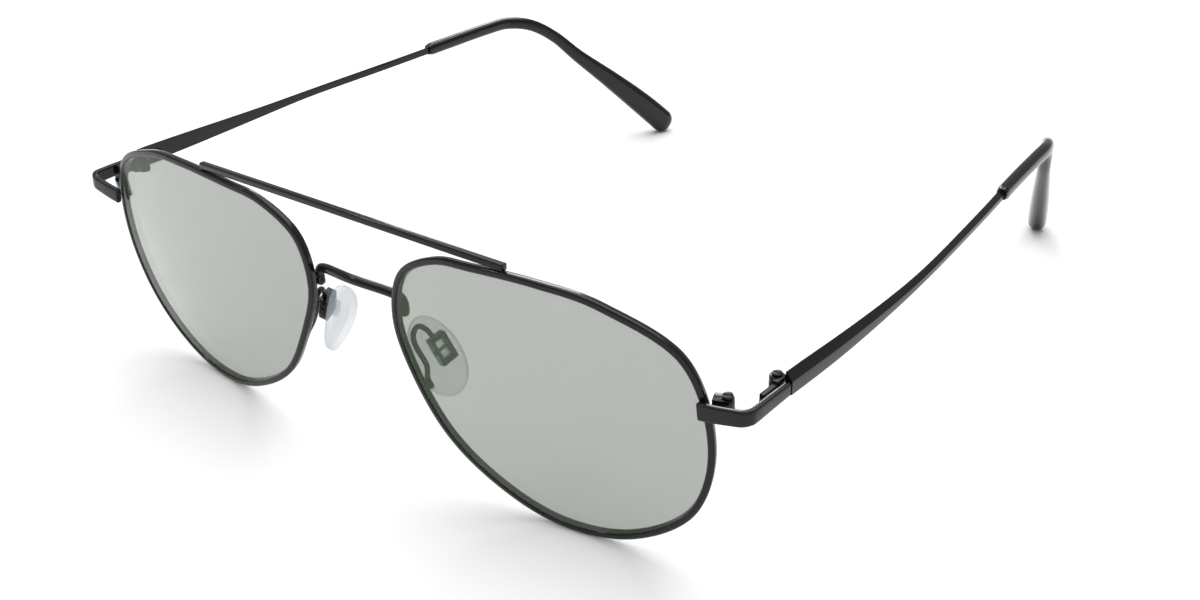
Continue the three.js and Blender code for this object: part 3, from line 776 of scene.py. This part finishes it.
def make_tip(front, temples):
    """A plastic sleeve with a bevelled mouth that thickens to a rounded paddle."""
    route = temple_route(front, temples)
    tip_start = TEMPLE_RUN - TIP_BEFORE_BEND
    tip_length = route.total - tip_start
    paddle_round = 3 * MM

    def size(share):
        left = (1 - share) * tip_length
        gone = share * tip_length
        rounding = math.sqrt(max(1 - (1 - min(left / paddle_round, 1)) ** 2, 0.004))
        mouth = blend(0.8, 1, smoothstep(gone, 0, 0.9 * MM))
        flare = smoothstep(share, 0.45, 0.95)
        width = blend(temples.tip_thickness, temples.paddle_thickness, flare)
        height = blend(temples.tip_height, temples.paddle_height, flare)
        return width * rounding * mouth, height * rounding * mouth

    return sweep(rounded_square(28, 2.5), route, 170, size, tip_start / route.total, 1, 1.9)


# ---- Nose pads ----


PAD_STEPS = 96


def make_nose_pad(pads):
    """A bent oval plate with rounded edges and a lug on its back."""
    edge = 0.45
    half = pads.thickness / MM / 2
    corner = [
        (1 - edge / 7 * (1 - math.cos(angle)), (half - edge) + edge * math.sin(angle))
        for angle in (math.radians(step) for step in (0, 30, 60, 90))
    ]
    flat = [(share, half) for share in (0.8, 0.6, 0.4, 0.2, 0)]
    top = [(radius, depth) for radius, depth in corner] + flat
    profile = [(radius, -depth) for radius, depth in reversed(top)] + top
    bm = spun(profile, PAD_STEPS, closed=False)
    turn = pad_turn()

    def on_pad(co):
        share = math.hypot(co.x, co.y)
        angle = math.atan2(co.y, co.x)
        taper = 1 + 0.12 * math.cos(angle)
        x = share * math.cos(angle) * pads.pad_length / 2
        y = share * math.sin(angle) * pads.width * taper / 2
        return turn @ Vector((x, y, co.z * MM + pads.crown * (2 * x / pads.pad_length) ** 2))

    place(bm, on_pad)
    bmesh.ops.remove_doubles(bm, verts=bm.verts, dist=1e-6)
    bmesh.ops.recalc_face_normals(bm, faces=bm.faces)
    lug = bmesh.ops.create_cube(bm, size=1)["verts"]
    lug_size = spot(2.9, 1.5, 2.6)
    bmesh.ops.scale(bm, vec=lug_size, verts=lug)
    bmesh.ops.translate(bm, vec=spot(-1.5, 0.4, 2.0), verts=lug)
    bmesh.ops.transform(bm, matrix=turn, verts=lug)
    lug_edges = list({edge for vert in lug for edge in vert.link_edges})
    bmesh.ops.bevel(bm, geom=lug_edges, offset=0.2 * MM, segments=3, profile=0.5, affect="EDGES", material=-1)
    return bm


def make_pad_arm(front, pads):
    """A wire that loops up from the pad's box and down to its foot behind the rim."""
    turn = pad_turn()
    box_length, box_offset = 4.8, 2.8
    box_top = -1.5 - box_length / 2 - SEAT_GAP / MM
    height = box_offset + 0.2
    behind = front.sizes.rim_depth + pads.wire / 2 + SEAT_GAP
    foot = -4.6 * MM

    def behind_at(up, extra):
        return front.bent(front.edge_at(up, -1) - front.sizes.rim_width / 3, behind + extra, up)

    points = [
        turn @ spot(box_top, -0.1, height),
        turn @ spot(box_top - 1.5, -0.3, height),
        turn @ spot(box_top - 3.0, -1.2, height),
        turn @ spot(box_top - 2.5, -2.5, height - 0.1),
        turn @ spot(box_top - 0.6, -3.1, height - 0.4),
        behind_at(foot + 3.4 * MM, 0.8 * MM),
        behind_at(foot + 1.6 * MM, 0),
        behind_at(foot, 0),
    ]
    return wire(Route(points), pads.wire, 90, 14)


# ---- Operators ----


class SUNGLASSES_OT_rims(bpy.types.Operator):
    """Make both rims"""

    bl_idname = "sunglasses.rims"
    bl_label = "Rims"

    def execute(self, context):
        front = Front(context.scene.sunglasses_front)
        add_both(lambda: make_rim(front), "rim", "frame")
        return {"FINISHED"}


class SUNGLASSES_OT_lenses(bpy.types.Operator):
    """Make both tinted lenses"""

    bl_idname = "sunglasses.lenses"
    bl_label = "Lenses"

    def execute(self, context):
        front = Front(context.scene.sunglasses_front)
        add_both(lambda: make_lens(front), "lens", "lens")
        return {"FINISHED"}


class SUNGLASSES_OT_bars(bpy.types.Operator):
    """Make the brow bar and the bridge"""

    bl_idname = "sunglasses.bars"
    bl_label = "Brow bar and bridge"

    def execute(self, context):
        front = Front(context.scene.sunglasses_front)
        add_piece(make_brow_bar(front), "brow_bar_piece", "frame", "front", ["brow_bar"])
        add_piece(make_bridge(front), "bridge_piece", "frame", "front", ["bridge"])
        return {"FINISHED"}


class SUNGLASSES_OT_end_pieces(bpy.types.Operator):
    """Make both end pieces"""

    bl_idname = "sunglasses.end_pieces"
    bl_label = "End pieces"

    def execute(self, context):
        front = Front(context.scene.sunglasses_front)
        temples = context.scene.sunglasses_temples
        add_both(lambda: make_end_piece(front, temples), "end_piece", "frame")
        return {"FINISHED"}


class SUNGLASSES_OT_fittings(bpy.types.Operator):
    """Make the closing blocks, hinges, pad boxes and all their screws"""

    bl_idname = "sunglasses.fittings"
    bl_label = "Fittings and screws"

    def execute(self, context):
        for part in ("rim_lock_upper", "rim_lock_lower", "front_hinge"):
            add_refined(part, "frame", bevel=0.12 * MM)
        add_refined("pad_box", "frame", bevel=0.22 * MM)
        add_refined("temple_hinge", "frame", "{side}_temple", 0.12 * MM)
        for part in ("rim_lock_screw", "hinge_screw", "pad_screw"):
            add_refined(part, "screw", bevel=0.03 * MM)
        return {"FINISHED"}


class SUNGLASSES_OT_temples(bpy.types.Operator):
    """Make both temples and their plastic tips"""

    bl_idname = "sunglasses.temples"
    bl_label = "Temples and tips"

    def execute(self, context):
        front = Front(context.scene.sunglasses_front)
        temples = context.scene.sunglasses_temples
        add_both(lambda: make_temple(front, temples), "temple", "frame", "{side}_temple", 25)
        add_both(lambda: make_tip(front, temples), "temple_tip", "tip", "{side}_temple")
        return {"FINISHED"}


class SUNGLASSES_OT_nose_pads(bpy.types.Operator):
    """Make the clear nose pads and their wire arms"""

    bl_idname = "sunglasses.nose_pads"
    bl_label = "Nose pads"

    def execute(self, context):
        front = Front(context.scene.sunglasses_front)
        pads = context.scene.sunglasses_pads
        add_both(lambda: make_nose_pad(pads), "nose_pad", "pad", "{side}_pad")
        add_both(lambda: make_pad_arm(front, pads), "pad_arm", "frame")
        return {"FINISHED"}


CAMERA_PLACE = Vector((0.16465, -0.23132, 0.14090))
CAMERA_TURN = (math.radians(63.35), 0, math.radians(37.13))
CAMERA_LENS = 48.0

# Each soft light: its name, its place, the side of its square and its power in watts.
LIGHTS = (
    ("Overhead softbox", Vector((-0.1, 0.15, 0.9)), 1.2, 11),
    ("Front fill", Vector((0.5, -0.7, 0.5)), 0.5, 0.6),
    ("Rear strip", Vector((-0.51, 0.67, 0.43)), 0.24, 1.3),
    ("Left strip", Vector((-0.45, -0.35, 0.58)), 0.08, 0.4),
)


class SUNGLASSES_OT_stage(bpy.types.Operator):
    """Make the floor, the lights and the camera"""

    bl_idname = "sunglasses.stage"
    bl_label = "Stage"

    def execute(self, context):
        bm = bmesh.new()
        bmesh.ops.create_grid(bm, x_segments=8, y_segments=8, size=3)
        mesh = bpy.data.meshes.new("floor")
        bm.to_mesh(mesh)
        bm.free()
        mesh.materials.append(material("floor"))
        floor = bpy.data.objects.new("floor", mesh)
        context.scene.collection.objects.link(floor)

        for name, place_at, side, power in LIGHTS:
            light = bpy.data.lights.new(name, "AREA")
            light.shape = "SQUARE"
            light.size = side
            light.energy = power
            lamp = bpy.data.objects.new(name, light)
            lamp.location = place_at
            lamp.rotation_euler = (-place_at).to_track_quat("-Z", "Y").to_euler()
            context.scene.collection.objects.link(lamp)

        world = bpy.data.worlds.new("Studio")
        world.use_nodes = True
        world.node_tree.nodes["Background"].inputs["Color"].default_value = (1, 1, 1, 1)
        world.node_tree.nodes["Background"].inputs["Strength"].default_value = 0.4
        context.scene.world = world
        context.scene.view_settings.view_transform = "Standard"

        camera = bpy.data.cameras.new("camera")
        camera.sensor_width = 36
        camera.lens = CAMERA_LENS
        camera.clip_start = 0.01
        viewer = bpy.data.objects.new("camera", camera)
        viewer.location = CAMERA_PLACE
        viewer.rotation_euler = CAMERA_TURN
        context.scene.collection.objects.link(viewer)
        context.scene.camera = viewer
        return {"FINISHED"}


OPERATORS = (
    SUNGLASSES_OT_rims,
    SUNGLASSES_OT_lenses,
    SUNGLASSES_OT_bars,
    SUNGLASSES_OT_end_pieces,
    SUNGLASSES_OT_fittings,
    SUNGLASSES_OT_temples,
    SUNGLASSES_OT_nose_pads,
    SUNGLASSES_OT_stage,
)


class SUNGLASSES_PT_panel(bpy.types.Panel):
    bl_idname = "SUNGLASSES_PT_panel"
    bl_label = "Aviator sunglasses"
    bl_space_type = "VIEW_3D"
    bl_region_type = "UI"
    bl_category = "Sunglasses"

    def draw(self, context):
        for operator in OPERATORS:
            self.layout.operator(operator.bl_idname)
        for name in GROUPS:
            group = getattr(context.scene, name)
            column = self.layout.column()
            for size in group.bl_rna.properties.keys():
                if size not in {"rna_type", "name"}:
                    column.prop(group, size)


GROUPS = {
    "sunglasses_front": FrontSizes,
    "sunglasses_temples": TempleSizes,
    "sunglasses_pads": PadSizes,
    "sunglasses_finishes": Finishes,
}


def register():
    for group in (*GROUPS.values(), *OPERATORS, SUNGLASSES_PT_panel):
        bpy.utils.register_class(group)
    for name, group in GROUPS.items():
        setattr(bpy.types.Scene, name, bpy.props.PointerProperty(type=group))


def unregister():
    for name in GROUPS:
        delattr(bpy.types.Scene, name)
    for group in (SUNGLASSES_PT_panel, *reversed(OPERATORS), *GROUPS.values()):
        bpy.utils.unregister_class(group)


def corners(box):
    return [[float(value) for value in corner] for corner in box]


def main():
    register()
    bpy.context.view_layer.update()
    for operator in OPERATORS:
        group, name = operator.bl_idname.split(".")
        getattr(getattr(bpy.ops, group), name)()


if __name__ == "__main__":
    main()
